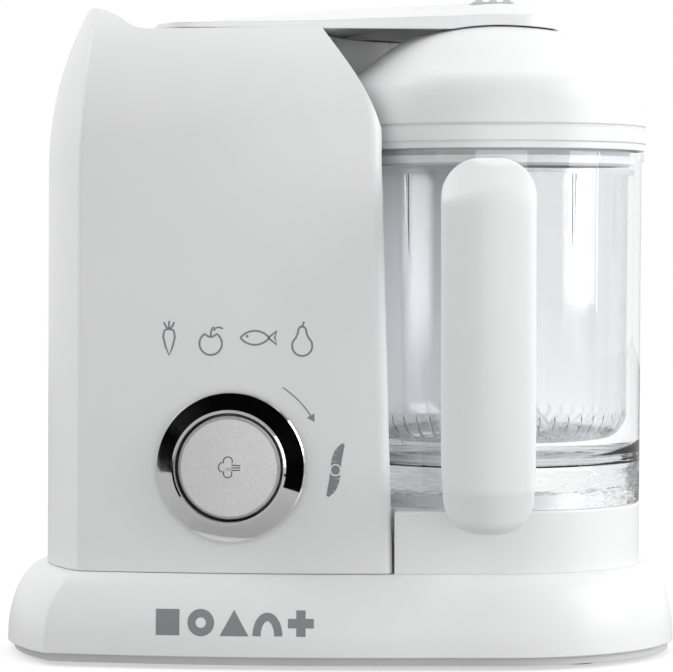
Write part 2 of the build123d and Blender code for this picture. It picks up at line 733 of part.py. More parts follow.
with BuildPart() as blade_hub:
    add(ring(0, 4.0, 71.6, 80, BOWL_X, 0))
    with BuildSketch(Plane.XY.offset(67.6)):
        with Locations((BOWL_X, 0)):
            RegularPolygon(4.2, 6)
    extrude(amount=4.0)
    add(ring(0, 7.6, HUB_TOP + GAP, 90, BOWL_X, 0))
    fillet(blade_hub.edges().group_by(Axis.Z)[-1], 4.0)
blade_hub.part.label = "blade_hub"
export_step(blade_hub.part, "parts/blade_hub.step")

BLADE_REACH = 38.0
BLADE_LOW = 80.4
with BuildSketch() as blade_outline:
    with BuildLine():
        Polyline((6, 5), (6, -5), (22, -4.4))
        Spline((22, -4.4), (31, -1.5), (BLADE_REACH, 6), tangents=[(1, 0.1), (0.4, 1)])
        Spline((BLADE_REACH, 6), (28, 4.6), (6, 5), tangents=[(-1, -0.3), (-1, 0)])
    make_face()
with BuildPart() as blades:
    with BuildSketch(Plane.XY.offset(BLADE_LOW)):
        with Locations((BOWL_X, 0)):
            with PolarLocations(0, 2):
                add(blade_outline.sketch)
            Circle(7.6, mode=Mode.SUBTRACT)
    extrude(amount=1.4)
blades.part.label = "blades"
export_step(blades.part, "parts/blades.step")

# Basket ----------------------------------------------------------------------------------------
BASKET_WALL = 1.8
CONE_TOP = 98.0
RIB_COUNT = 5
RIB_START = 229.5
with BuildPart() as steam_basket:
    with BuildSketch(BOWL_SECTION):
        with BuildLine():
            Polyline(
                (BASKET_R, BASKET_BOTTOM + 12),
                (BASKET_R + 0.6, BASKET_RIM - 2),
                (BOWL_R - 3.0, BASKET_RIM - 2),
                (BOWL_R - 3.0, BASKET_RIM),
                (BASKET_R + 0.6 - BASKET_WALL, BASKET_RIM),
                (BASKET_R - BASKET_WALL, BASKET_BOTTOM + 12),
            )
            inner_foot = (BASKET_R - 12, BASKET_BOTTOM + BASKET_WALL)
            ThreePointArc(
                (BASKET_R - BASKET_WALL, BASKET_BOTTOM + 12),
                (BASKET_R - 5.0, BASKET_BOTTOM + 5.0),
                inner_foot,
            )
            Polyline(
                inner_foot,
                (24, BASKET_BOTTOM + BASKET_WALL),
                (17, CONE_TOP + BASKET_WALL),
                (0, CONE_TOP + BASKET_WALL),
                (0, CONE_TOP),
                (15.5, CONE_TOP),
                (22.5, BASKET_BOTTOM),
                (BASKET_R - 12, BASKET_BOTTOM),
            )
            ThreePointArc(
                (BASKET_R - 12, BASKET_BOTTOM),
                (BASKET_R - 3.6, BASKET_BOTTOM + 3.6),
                (BASKET_R, BASKET_BOTTOM + 12),
            )
        make_face()
    revolve(axis=BOWL_AXIS)
    with BuildSketch(Plane.XY.offset(BASKET_BOTTOM - 1)):
        with Locations((BOWL_X, 0)):
            with PolarLocations(34, 40):
                SlotOverall(15, 1.7)
    extrude(amount=5, mode=Mode.SUBTRACT)
    for index in range(RIB_COUNT):
        angle = RIB_START + index * 360 / RIB_COUNT
        rib_plane = Plane(
            origin=(BOWL_X, 0, 0),
            x_dir=(math.cos(math.radians(angle)), math.sin(math.radians(angle)), 0),
            z_dir=(math.sin(math.radians(angle)), -math.cos(math.radians(angle)), 0),
        )
        with BuildSketch(rib_plane):
            with BuildLine():
                Polyline(
                    (BASKET_R - 0.6, 138),
                    (BASKET_R + 2.2, BASKET_RIM - 2),
                    (BASKET_R - 0.6, BASKET_RIM - 2),
                    close=True,
                )
            make_face()
        extrude(amount=0.5, both=True)
steam_basket.part.label = "steam_basket"
export_step(steam_basket.part, "parts/steam_basket.step")

# Handle ----------------------------------------------------------------------------------------
TILT = math.radians(HANDLE_TILT)
HANDLE_SIDE = Plane(
    origin=(BOWL_X, 0, 0),
    x_dir=(-math.sin(TILT), math.cos(TILT), 0),
    z_dir=(math.cos(TILT), math.sin(TILT), 0),
)
HANDLE_FACE = Plane(
    origin=(BOWL_X, 0, 0),
    x_dir=(math.cos(TILT), math.sin(TILT), 0),
    z_dir=(math.sin(TILT), -math.cos(TILT), 0),
)
GRIP_BACK = HANDLE_FRONT + 15.5
HANDLE_LOW = 54.0
HANDLE_HIGH = 197.0
with BuildPart() as bowl_clearance:
    with BuildSketch(BOWL_SECTION):
        Polygon(
            (0, 50),
            (SEAT_R + 0.05, 50),
            (BOWL_R + 0.05, FLANGE_LOW + 5),
            (0, FLANGE_LOW + 5),
            align=None,
        )
    revolve(axis=BOWL_AXIS)
with BuildPart() as handle_side:
    with BuildSketch(HANDLE_SIDE):
        with BuildLine():
            ThreePointArc(
                (GRIP_BACK, HANDLE_LOW + 3),
                (GRIP_BACK - 8, HANDLE_LOW),
                (HANDLE_FRONT + 3, HANDLE_LOW + 4),
            )
            Polyline(
                (HANDLE_FRONT + 3, HANDLE_LOW + 4),
                (HANDLE_FRONT, HANDLE_LOW + 16),
                (HANDLE_FRONT, HANDLE_HIGH - 20),
            )
            ThreePointArc(
                (HANDLE_FRONT, HANDLE_HIGH - 20),
                (HANDLE_FRONT + 5, HANDLE_HIGH - 6.5),
                (GRIP_BACK - 2, HANDLE_HIGH),
            )
            Polyline(
                (GRIP_BACK - 2, HANDLE_HIGH),
                (-50, HANDLE_HIGH - 1),
                (-50, HANDLE_HIGH - 19),
                (GRIP_BACK + 6, HANDLE_HIGH - 21),
                (GRIP_BACK, HANDLE_HIGH - 28),
                (GRIP_BACK, HANDLE_LOW + 34),
                (GRIP_BACK + 6, HANDLE_LOW + 27),
                (-50, HANDLE_LOW + 25),
                (-50, HANDLE_LOW + 11),
                (GRIP_BACK, HANDLE_LOW + 9),
                (GRIP_BACK, HANDLE_LOW + 3),
            )
        make_face()
    extrude(amount=HANDLE_WIDTH / 2, both=True)
with BuildPart() as handle_front:
    with BuildSketch(HANDLE_FACE.offset(45)) as handle_outline:
        with Locations((0, (HANDLE_LOW + HANDLE_HIGH) / 2)):
            Rectangle(HANDLE_WIDTH, HANDLE_HIGH - HANDLE_LOW)
        fillet(handle_outline.vertices().group_by(Axis.Y)[-1], 15)
        fillet(handle_outline.vertices().group_by(Axis.Y)[0], 9)
    extrude(amount=65)
with BuildPart() as bowl_handle:
    add(handle_side.part)
    add(handle_front.part, mode=Mode.INTERSECT)
    add(bowl_clearance.part, mode=Mode.SUBTRACT)
bowl_handle.part.label = "bowl_handle"
export_step(bowl_handle.part, "parts/bowl_handle.step")

with BuildPart() as handle_inner_cover:
    with BuildSketch(HANDLE_FACE.offset(-GRIP_BACK - 1.6)):
        with Locations((0, (HANDLE_LOW + HANDLE_HIGH) / 2 + 2)):
            RectangleRounded(26, 76, 6)
    extrude(amount=1.6)
handle_inner_cover.part.label = "handle_inner_cover"
export_step(handle_inner_cover.part, "parts/handle_inner_cover.step")

# Lid -------------------------------------------------------------------------------------------
STEAM_HOLE_R = 9.0


def dome_line(spread):
    """Outer line of the lid's dome from its axis to its straight wall, raised by spread."""
    return Spline(
        (0, DOME_TOP + spread),
        (24, 250.4 + spread),
        (40 + 0.6 * spread, 244.4 + 0.7 * spread),
        (54 + 0.8 * spread, 233.5 + 0.5 * spread),
        (LID_R + spread, 219),
        tangents=[(1, 0), (0, -1)],
    )


LID_WALL = 2.2
LIP_R = BOWL_R + 1.0
with BuildPart() as lid_dome:
    with BuildSketch(BOWL_SECTION):
        with BuildLine():
            top = dome_line(0)
            Polyline(
                top @ 1,
                (LID_R, 211.4),
                (LID_R - 0.7, 211.1),
                (LID_R - 0.7, 210.5),
                (LID_R, 210.2),
                (LID_R, 204.6),
                (LIP_R, 204.2),
                (LIP_R, LID_LOW),
                (LIP_R - LID_WALL, LID_LOW),
                (LIP_R - LID_WALL, 219),
            )
            under = dome_line(-LID_WALL)
            Line((LIP_R - LID_WALL, 219), under @ 1)
            Line(under @ 0, top @ 0)
        make_face()
    revolve(axis=BOWL_AXIS)
    add(ring(0, STEAM_HOLE_R, 240, 260, BOWL_X, 0), mode=Mode.SUBTRACT)
lid_dome.part.label = "lid_dome"
export_step(lid_dome.part, "parts/lid_dome.step")

PLUG_R = 55.0
with BuildPart() as lid_inner_plate:
    add(ring(PLUG_R - 4, LIP_R - LID_WALL, 204, 206, BOWL_X, 0))
    add(ring(PLUG_R - 2, PLUG_R, 195, 204, BOWL_X, 0))
lid_inner_plate.part.label = "lid_inner_plate"
export_step(lid_inner_plate.part, "parts/lid_inner_plate.step")

with BuildPart() as lid_seal:
    add(ring(PLUG_R, BOWL_R - 2.9, 196, 199, BOWL_X, 0))
lid_seal.part.label = "lid_seal"
export_step(lid_seal.part, "parts/lid_seal.step")

# Knob and button ---------------------------------------------------------------------------------
KNOB_AXIS = Axis(KNOB_FACE.origin, KNOB_FACE.z_dir)
KNOB_SECTION = Plane(origin=KNOB_FACE.origin, x_dir=KNOB_FACE.x_dir, z_dir=(0, 0, -1))


def turned(points):
    """Solid of revolution about the knob's axis from (radius, height off the face) points."""
    with BuildPart() as made:
        with BuildSketch(KNOB_SECTION):
            Polygon(*points, align=None)
        revolve(axis=KNOB_AXIS)
    return made.part


with BuildPart() as knob_ring:
    rim = [(23.9, 0.6), (KNOB_R, 0.6), (KNOB_R, 1.5), (KNOB_R - 0.5, 2.1)]
    bezel = [(22.4, 6.6), (21.6, 6.8), (21.2, 6.2), (20.6, 1.5), (23.9, 1.5)]
    add(turned(rim + bezel))
knob_ring.part.label = "knob_ring"
export_step(knob_ring.part, "parts/knob_ring.step")

with BuildPart() as knob_body:
    add(
        turned(
            [
                (20.7, 1.5),
                (23.9, 1.5),
                (23.9, -8),
                (6.5, -8),
                (6.5, -18),
                (4.3, -18),
                (4.3, -6),
                (20.7, -6),
            ]
        )
    )
knob_body.part.label = "knob_body"
export_step(knob_body.part, "parts/knob_body.step")

with BuildPart() as button_cap:
    add(turned([(0, 6.0), (BUTTON_R - 1.2, 5.7), (BUTTON_R, 5.0), (BUTTON_R, 1), (0, 1)]))
    add(turned([(0, 1), (4.0, 1), (4.0, -19), (0, -19)]))
button_cap.part.label = "button_cap"
export_step(button_cap.part, "parts/button_cap.step")

with BuildPart() as button_spring:
    with BuildLine() as button_coil:
        coil_start = KNOB_FACE.offset(-5.3).origin
        Helix(pitch=1.6, height=5.6, radius=7.2, center=coil_start, direction=KNOB_FACE.z_dir)
    with BuildSketch(button_coil.line ^ 0):
        Circle(0.45)
    sweep(is_frenet=True)
button_spring.part.label = "button_spring"
export_step(button_spring.part, "parts/button_spring.step")

with BuildPart() as knob_spring:
    with BuildLine() as knob_coil:
        coil_start = KNOB_FACE.offset(-13.4).origin
        Helix(pitch=1.5, height=4.4, radius=9.0, center=coil_start, direction=KNOB_FACE.z_dir)
    with BuildSketch(knob_coil.line ^ 0):
        Circle(0.5)
    sweep(is_frenet=True)
knob_spring.part.label = "knob_spring"
export_step(knob_spring.part, "parts/knob_spring.step")

SWITCH_FRONT = -14.4
with BuildPart() as switch_body:
    with BuildSketch(KNOB_FACE.offset(SWITCH_FRONT)):
        RectangleRounded(32, 30, 3)
    extrude(amount=-15)
    with BuildSketch(KNOB_FACE.offset(SWITCH_FRONT)):
        Circle(6.8)
    extrude(amount=-8, mode=Mode.SUBTRACT)
switch_body.part.label = "switch_body"
export_step(switch_body.part, "parts/switch_body.step")

BOARD_FRONT = SWITCH_FRONT - 15
with BuildPart() as control_board:
    with BuildSketch(KNOB_FACE.offset(BOARD_FRONT)):
        RectangleRounded(66, 58, 2)
        with GridLocations(58, 50, 2, 2):
            Circle(1.6, mode=Mode.SUBTRACT)
    extrude(amount=-1.6)
control_board.part.label = "control_board"
export_step(control_board.part, "parts/control_board.step")

with BuildPart() as board_parts:
    with BuildSketch(KNOB_FACE.offset(BOARD_FRONT)):
        with Locations((-25, 14), (-25, -4)):
            Rectangle(12, 15)
    extrude(amount=9)
    with BuildSketch(KNOB_FACE.offset(BOARD_FRONT)):
        with Locations((24, 15), (24, 4)):
            Circle(4.6)
    extrude(amount=11)
    with BuildSketch(KNOB_FACE.offset(BOARD_FRONT)):
        with Locations((23, -14), (-6, 20.5)):
            Rectangle(12, 7)
    extrude(amount=4)
board_parts.part.label = "board_parts"
export_step(board_parts.part, "parts/board_parts.step")

# Steam arm ----------------------------------------------------------------------------------------
# Stations along x: height of the crown, height of the skirt's upper edge, middle and half width.
ARM_STATIONS = (
    (-84, 250.8, 250.4, 24, 57),
    (-58, 253.2, 252.0, 24, 57),
    (-31, 257.8, 252.2, 28, 60),
    (0, 260.7, 252.4, 30, 61),
    (29, 262.0, 253.2, 26, 55),
    (53, 262.3, 254.2, 8, 33),
    (72, 261.6, 254.7, 0, 22),
    (82, 259.2, 254.7, 0, 20),
    (94, 254.0, 253.4, 0, 20),
)
ARM_WALL = 1.8


def arm_body(drop, inset):
    """Crowned body of the arm inside its outline, its top lowered by drop, its sides by inset."""
    with BuildPart() as crown:
        sections = []
        for x, top, skirt, middle, half in ARM_STATIONS:
            with BuildSketch(Plane.YZ.offset(x)) as section:
                with BuildLine():
                    near = (middle - half, skirt - drop)
                    far = (middle + half, skirt - drop)
                    ThreePointArc(near, (middle, top - drop), far)
                    ledge = skirt - drop - 1
                    Polyline(far, (90, ledge), (90, 236), (-60, 236), (-60, ledge), near)
                make_face()
            sections.append(section.sketch)
        loft(sections=sections)
    with BuildPart() as body:
        with BuildSketch(Plane.XY.offset(244)):
            with BuildLine():
                CenterArc((67.5, 0), 21 - inset, 0, 360)
                CenterArc((25, 48), 20 - inset, 0, 360)
                CenterArc((-57, 52), 16 - inset, 0, 360)
                CenterArc((-57, -17), 16 - inset, 0, 360)
            make_hull()
        extrude(amount=30)
        add(crown.part, mode=Mode.INTERSECT)
    return body.part


with BuildPart() as dome_room:
    with BuildSketch(BOWL_SECTION):
        with BuildLine():
            roof = dome_line(0.7)
            Polyline(roof @ 1, (0, 219), roof @ 0)
        make_face()
    revolve(axis=BOWL_AXIS)

SLOT_LOW_X = 52.0
SLOT_HIGH_X = 76.0
SLOT_HALF = 8.5
with BuildPart() as arm_cover:
    add(arm_body(0, 0))
    add(arm_body(ARM_WALL, ARM_WALL), mode=Mode.SUBTRACT)
    with BuildSketch(Plane.XY.offset(200)):
        with Locations((0, 10)):
            Rectangle(300, 200)
    extrude(amount=ARM_LOW - 200, mode=Mode.SUBTRACT)
    add(dome_room.part, mode=Mode.SUBTRACT)
    with BuildSketch(Plane.XY.offset(240)):
        for middle in KNUCKLE_MIDS:
            with Locations((HINGE_X, middle)):
                Rectangle(10, PIN_LONG + 0.8)
    extrude(amount=20, mode=Mode.SUBTRACT)
    with BuildSketch(Plane.XY.offset(255.5)):
        with Locations(((SLOT_LOW_X + SLOT_HIGH_X) / 2, 0)):
            RectangleRounded(SLOT_HIGH_X - SLOT_LOW_X, 2 * SLOT_HALF, 2)
    extrude(amount=20, mode=Mode.SUBTRACT)
    for middle in KNUCKLE_MIDS:
        with BuildSketch(Plane.XZ.offset(-middle - KNUCKLE_LONG / 2)):
            with Locations((HINGE_X, HINGE_Z)):
                Circle(HINGE_R)
            with Locations((HINGE_X + 4, HINGE_Z)):
                Rectangle(8, 1.0)
            with Locations((HINGE_X, HINGE_Z)):
                Circle(1.05, mode=Mode.SUBTRACT)
        extrude(amount=KNUCKLE_LONG)
arm_cover.part.label = "arm_cover"
export_step(arm_cover.part, "parts/arm_cover.step")

NOZZLE_TOP = 255.6
with BuildPart() as arm_underside:
    with BuildSketch(Plane.XZ.offset(-90)):
        Polygon(
            (-71.5, ARM_LOW),
            (-2, ARM_LOW),
            (16, 253.9),
            (88, 253.9),
            (88, 255.3),
            (15, 255.3),
            (-3, ARM_LOW + 1.4),
            (-71.5, ARM_LOW + 1.4),
            align=None,
        )
    extrude(amount=150)
    with BuildSketch(Plane.XY.offset(ARM_LOW)):
        with Locations((29, 60)):
            Rectangle(54, 28)
    extrude(amount=4.0)
    add(arm_body(ARM_WALL, ARM_WALL), mode=Mode.INTERSECT)
    add(ring(0, 5.6, 250, 258, BOWL_X, 0), mode=Mode.SUBTRACT)
    with BuildSketch(Plane.XY.offset(240)):
        with Locations((LATCH_LEG_X + 2, LATCH_LEG_Y)):
            Rectangle(13, 7)
        for middle in KNUCKLE_MIDS:
            with Locations((HINGE_X, middle)):
                Rectangle(7, PIN_LONG + 0.8)
    extrude(amount=20, mode=Mode.SUBTRACT)
arm_underside.part.label = "arm_underside"
export_step(arm_underside.part, "parts/arm_underside.step")

with BuildPart() as tank_plug:
    add(ring(TANK_R - 6, TANK_R - 1.4, TANK_DECK - 5, ARM_LOW, TANK_X, TANK_Y))
tank_plug.part.label = "tank_plug"
export_step(tank_plug.part, "parts/tank_plug.step")

with BuildPart() as steam_nozzle:
    add(ring(3.2, 5.4, 247.0, NOZZLE_TOP, BOWL_X, 0))
    add(ring(3.2, 7.4, 255.3, NOZZLE_TOP, BOWL_X, 0))
steam_nozzle.part.label = "steam_nozzle"
export_step(steam_nozzle.part, "parts/steam_nozzle.step")

# Latch: a ribbed slider on the arm with a leg that reaches into the tower's rear wing
LEG_HALF = 2.6
SLIDER_LOW = 255.7
SLIDER_THICK = 1.0
BUTTON_TOP = 261.9
with BuildPart() as latch_slider:
    with BuildSketch(Plane.XY.offset(SLIDER_LOW)):
        with Locations((62, 0)):
            Rectangle(24, 13)
        with Locations(((LATCH_LEG_X + 52) / 2, 3.5)):
            Rectangle(52 - LATCH_LEG_X + 2 * LEG_HALF, 6)
        with Locations((LATCH_LEG_X, (LATCH_LEG_Y + 2.5) / 2)):
            Rectangle(2 * LEG_HALF, LATCH_LEG_Y - 2.5)
    extrude(amount=SLIDER_THICK)
    with BuildSketch(Plane.XY.offset(241)):
        with Locations((LATCH_LEG_X, LATCH_LEG_Y - 1.5)):
            Rectangle(2 * LEG_HALF, 3)
    extrude(amount=SLIDER_LOW - 241)
    with BuildSketch(Plane.XY.offset(SLIDER_LOW + SLIDER_THICK)):
        with Locations((62, 0)):
            RectangleRounded(17, 12, 1.5)
    extrude(amount=BUTTON_TOP - SLIDER_LOW - SLIDER_THICK)
    with BuildSketch(Plane.XZ.offset(5)):
        for rib_x in (56.2, 61.8, 67.4):
            with Locations((rib_x, BUTTON_TOP)):
                Ellipse(1.7, 1.3)
    extrude(amount=-10)
latch_slider.part.label = "latch_slider"
export_step(latch_slider.part, "parts/latch_slider.step")

with BuildPart() as latch_spring:
    with BuildLine() as latch_coil:
        Helix(pitch=1.3, height=4.4, radius=1.0, center=(74.6, 0, 256.7), direction=(1, 0, 0))
    with BuildSketch(latch_coil.line ^ 0):
        Circle(0.3)
    sweep(is_frenet=True)
latch_spring.part.label = "latch_spring"
export_step(latch_spring.part, "parts/latch_spring.step")

# Interlock, wiring and rear fittings -----------------------------------------------------------
PLUNGER_X, PLUNGER_Y = PLUNGER_SPOT
with BuildPart() as interlock_switch:
    with BuildSketch(Plane.XY.offset(226)):
        with Locations((PLUNGER_X - 4, PLUNGER_Y + 2)):
            Rectangle(16, 8)
    extrude(amount=14)
    add(ring(0, 1.9, 230, 241, PLUNGER_X, PLUNGER_Y), mode=Mode.SUBTRACT)
interlock_switch.part.label = "interlock_switch"
export_step(interlock_switch.part, "parts/interlock_switch.step")

with BuildPart() as interlock_plunger:
    add(ring(0, 1.6, 234, ARM_LOW - 0.2, PLUNGER_X, PLUNGER_Y))
interlock_plunger.part.label = "interlock_plunger"
export_step(interlock_plunger.part, "parts/interlock_plunger.step")

with BuildPart() as cord_gland:
    with BuildSketch(Plane.XZ.offset(-REAR_FACE_Y - 2.5)):
        with Locations((GLAND_X, GLAND_Z)):
            Circle(8.5)
    extrude(amount=2.5)
    with BuildSketch(Plane.XZ.offset(-REAR_FACE_Y - 9)):
        with Locations((GLAND_X, GLAND_Z)):
            Circle(5.6)
    extrude(amount=6.5)
    with BuildSketch(Plane.XZ.offset(-REAR_FACE_Y)):
        with Locations((GLAND_X, GLAND_Z)):
            Circle(6.0)
    extrude(amount=6)
    with BuildSketch(Plane.XZ.offset(-REAR_FACE_Y - 9)):
        with Locations((GLAND_X, GLAND_Z)):
            Circle(3.4)
    extrude(amount=16, mode=Mode.SUBTRACT)
cord_gland.part.label = "cord_gland"
export_step(cord_gland.part, "parts/cord_gland.step")

with BuildPart() as terminal_block:
    with BuildSketch(Plane.XY.offset(DECK)):
        with Locations((4, 66)):
            Rectangle(26, 12)
    extrude(amount=14)
    with BuildSketch(Plane.XY.offset(DECK + 14)):
        with Locations((4, 66)):
            with GridLocations(8, 1, 3, 1):
                Circle(2.2)
    extrude(amount=-4, mode=Mode.SUBTRACT)
terminal_block.part.label = "terminal_block"
export_step(terminal_block.part, "parts/terminal_block.step")

WIRE_R = 1.4
POWER_ROUTE = [(-20, 76, 54), (-20, 70, 54), (-16, 66, 58), (-4, 66, 58), (0, 66, 53)]
HEATER_ROUTE = [(-58, -22.4, 100), (-58, -17, 104), (-50, -16, 130), (-52, -14, 150), (-50, -12, 161)]
with BuildPart() as wiring_harness:
    for route in (POWER_ROUTE, HEATER_ROUTE):
        with BuildLine() as wire_line:
            FilletPolyline(*route, radius=2.2)
        with BuildSketch(wire_line.line ^ 0):
            Circle(WIRE_R)
        sweep()
wiring_harness.part.label = "wiring_harness"
export_step(wiring_harness.part, "parts/wiring_harness.step")
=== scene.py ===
import json
import math

import bmesh
import bpy
from mathutils import Matrix, Vector
from mathutils.bvhtree import BVHTree


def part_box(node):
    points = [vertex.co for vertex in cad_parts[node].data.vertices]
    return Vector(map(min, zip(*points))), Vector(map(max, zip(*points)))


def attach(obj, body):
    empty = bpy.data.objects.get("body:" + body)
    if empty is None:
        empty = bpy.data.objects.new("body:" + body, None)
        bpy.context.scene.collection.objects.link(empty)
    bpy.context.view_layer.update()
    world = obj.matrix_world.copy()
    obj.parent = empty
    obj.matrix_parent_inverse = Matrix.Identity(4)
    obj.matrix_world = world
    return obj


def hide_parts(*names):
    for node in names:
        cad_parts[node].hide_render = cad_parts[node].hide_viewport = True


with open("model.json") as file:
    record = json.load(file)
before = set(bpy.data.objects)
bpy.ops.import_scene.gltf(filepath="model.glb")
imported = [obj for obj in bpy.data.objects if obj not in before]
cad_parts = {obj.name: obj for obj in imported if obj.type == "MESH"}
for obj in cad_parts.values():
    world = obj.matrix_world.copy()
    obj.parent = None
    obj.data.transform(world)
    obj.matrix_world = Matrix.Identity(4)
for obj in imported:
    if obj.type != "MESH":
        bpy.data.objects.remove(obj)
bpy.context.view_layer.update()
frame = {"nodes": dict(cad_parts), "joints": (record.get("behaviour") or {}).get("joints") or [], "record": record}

NODES = frame["nodes"]
JOINTS = {joint["name"]: joint for joint in frame["joints"]}
BOWL_X = JOINTS["bowl_turn"]["pos_m"][0]
BOWL_FOOT = 0.0156  # thickness of the clear foot under the bowl's floor
BOWL_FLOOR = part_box("bowl")[0].z + BOWL_FOOT


# Materials ----------------------------------------------------------------------------------------
NOISE_RANGE = (0.3, 0.7)  # where nearly all of Blender's noise lies


def new_material(name):
    """An empty node material with its shader, and the object coordinates its textures use."""
    made = bpy.data.materials.new(name)
    made.use_nodes = True
    tree = made.node_tree
    tree.nodes.clear()
    shader = tree.nodes.new("ShaderNodeBsdfPrincipled")
    output = tree.nodes.new("ShaderNodeOutputMaterial")
    tree.links.new(shader.outputs["BSDF"], output.inputs["Surface"])
    place = tree.nodes.new("ShaderNodeTexCoord")
    return made, tree, shader, place.outputs["Object"]


def found(tree, kind):
    """The tree's only node of a type."""
    return next(node for node in tree.nodes if node.type == kind)


def ramp(tree, value, start, end, low=0.0, high=1.0):
    """The value brought from the range start to end into the range low to high."""
    made = tree.nodes.new("ShaderNodeMapRange")
    made.inputs["From Min"].default_value = start
    made.inputs["From Max"].default_value = end
    made.inputs["To Min"].default_value = low
    made.inputs["To Max"].default_value = high
    tree.links.new(value, made.inputs["Value"])
    return made.outputs["Result"]


def maths(tree, operation, first, second):
    """The result of one operation on an output and another output or a plain number."""
    made = tree.nodes.new("ShaderNodeMath")
    made.operation = operation
    tree.links.new(first, made.inputs[0])
    if isinstance(second, float):
        made.inputs[1].default_value = second
    else:
        tree.links.new(second, made.inputs[1])
    return made.outputs["Value"]


def mixed(tree, share, first, second):
    """Two shader nodes, the second taking over as share goes from 0 to 1."""
    made = tree.nodes.new("ShaderNodeMixShader")
    tree.links.new(share, made.inputs["Fac"])
    tree.links.new(first.outputs[0], made.inputs[1])
    tree.links.new(second.outputs[0], made.inputs[2])
    return made.outputs["Shader"]


def noise(tree, place, scale, detail=3.0, stretch=None):
    """Noise of so many features a metre, drawn out along the axes where stretch is under 1."""
    if stretch:
        mapping = tree.nodes.new("ShaderNodeMapping")
        mapping.inputs["Scale"].default_value = stretch
        tree.links.new(place, mapping.inputs["Vector"])
        place = mapping.outputs["Vector"]
    made = tree.nodes.new("ShaderNodeTexNoise")
    made.inputs["Scale"].default_value = scale
    made.inputs["Detail"].default_value = detail
    tree.links.new(place, made.inputs["Vector"])
    return made.outputs["Fac"]


def tinted(tree, value, first, second):
    """A colour that wanders between two tints with the noise value."""
    made = tree.nodes.new("ShaderNodeValToRGB")
    made.color_ramp.elements[0].position = 0.35
    made.color_ramp.elements[0].color = (*first, 1)
    made.color_ramp.elements[1].position = 0.65
    made.color_ramp.elements[1].color = (*second, 1)
    tree.links.new(value, made.inputs["Fac"])
    return made.outputs["Color"]


def bumped(tree, onto, height, strength, distance):
    """A bump node fed by a height, on the normal of a shader or of another bump node."""
    made = tree.nodes.new("ShaderNodeBump")
    made.inputs["Strength"].default_value = strength
    made.inputs["Distance"].default_value = distance
    tree.links.new(height, made.inputs["Height"])
    tree.links.new(made.outputs["Normal"], onto.inputs["Normal"])
    return made


def surface(
    name, tints, rough, grain, depth, metallic=0.0, stretch=None, coat=0.0, cloud=18.0, edge=0.0
):
    """Opaque finish: two close tints, a range of roughness, a fine grain and softened edges.

    The tints change with the cloud noise. Depth of the grain and radius of the edges in metres.
    """
    made, tree, shader, place = new_material(name)
    clouds = noise(tree, place, cloud, detail=4.0)
    fine = noise(tree, place, grain, detail=2.0, stretch=stretch)
    tree.links.new(tinted(tree, clouds, *tints), shader.inputs["Base Color"])
    tree.links.new(ramp(tree, fine, *NOISE_RANGE, *rough), shader.inputs["Roughness"])
    bump = bumped(tree, shader, fine, strength=0.6, distance=depth)
    if edge:
        rounded = tree.nodes.new("ShaderNodeBevel")
        rounded.inputs["Radius"].default_value = edge
        tree.links.new(rounded.outputs["Normal"], bump.inputs["Normal"])
    shader.inputs["Metallic"].default_value = metallic
    shader.inputs["Coat Weight"].default_value = coat
    shader.inputs["Coat Roughness"].default_value = 0.18
    return made


def rippled_foot(tree, place, bump, top, fade=0.002):
    """Slow ripples in thick clear plastic, below the height top."""
    parts = tree.nodes.new("ShaderNodeSeparateXYZ")
    tree.links.new(place, parts.inputs["Vector"])
    below = ramp(tree, parts.outputs["Z"], top, top - fade)
    slow = noise(tree, place, 110.0, detail=3.0, stretch=(0.5, 0.5, 3.0))
    ripple = maths(tree, "MULTIPLY", below, slow)
    bumped(tree, bump, ripple, strength=0.7, distance=0.0016)


def clear(name, colour, rough, grain, depth, foot_top=None):
    """Clear moulded plastic with faint flow marks, and a rippled foot below foot_top."""
    made, tree, shader, place = new_material(name)
    flow = noise(tree, place, grain, detail=2.0, stretch=(1, 1, 0.3))
    tree.links.new(ramp(tree, flow, *NOISE_RANGE, *rough), shader.inputs["Roughness"])
    bump = bumped(tree, shader, flow, strength=0.5, distance=depth)
    shader.inputs["Base Color"].default_value = (*colour, 1)
    shader.inputs["Transmission Weight"].default_value = 1.0
    shader.inputs["IOR"].default_value = 1.5
    if foot_top:
        rippled_foot(tree, place, bump, foot_top)
    # Light that falls on what stands in the bowl comes straight through the clear walls
    straight = tree.nodes.new("ShaderNodeBsdfTransparent")
    straight.inputs["Color"].default_value = (0.985, 0.99, 0.995, 1)
    ray = tree.nodes.new("ShaderNodeLightPath").outputs
    lighting = maths(tree, "MAXIMUM", ray["Is Shadow Ray"], ray["Is Diffuse Ray"])
    output = found(tree, "OUTPUT_MATERIAL")
    tree.links.new(mixed(tree, lighting, shader, straight), output.inputs["Surface"])
    return made


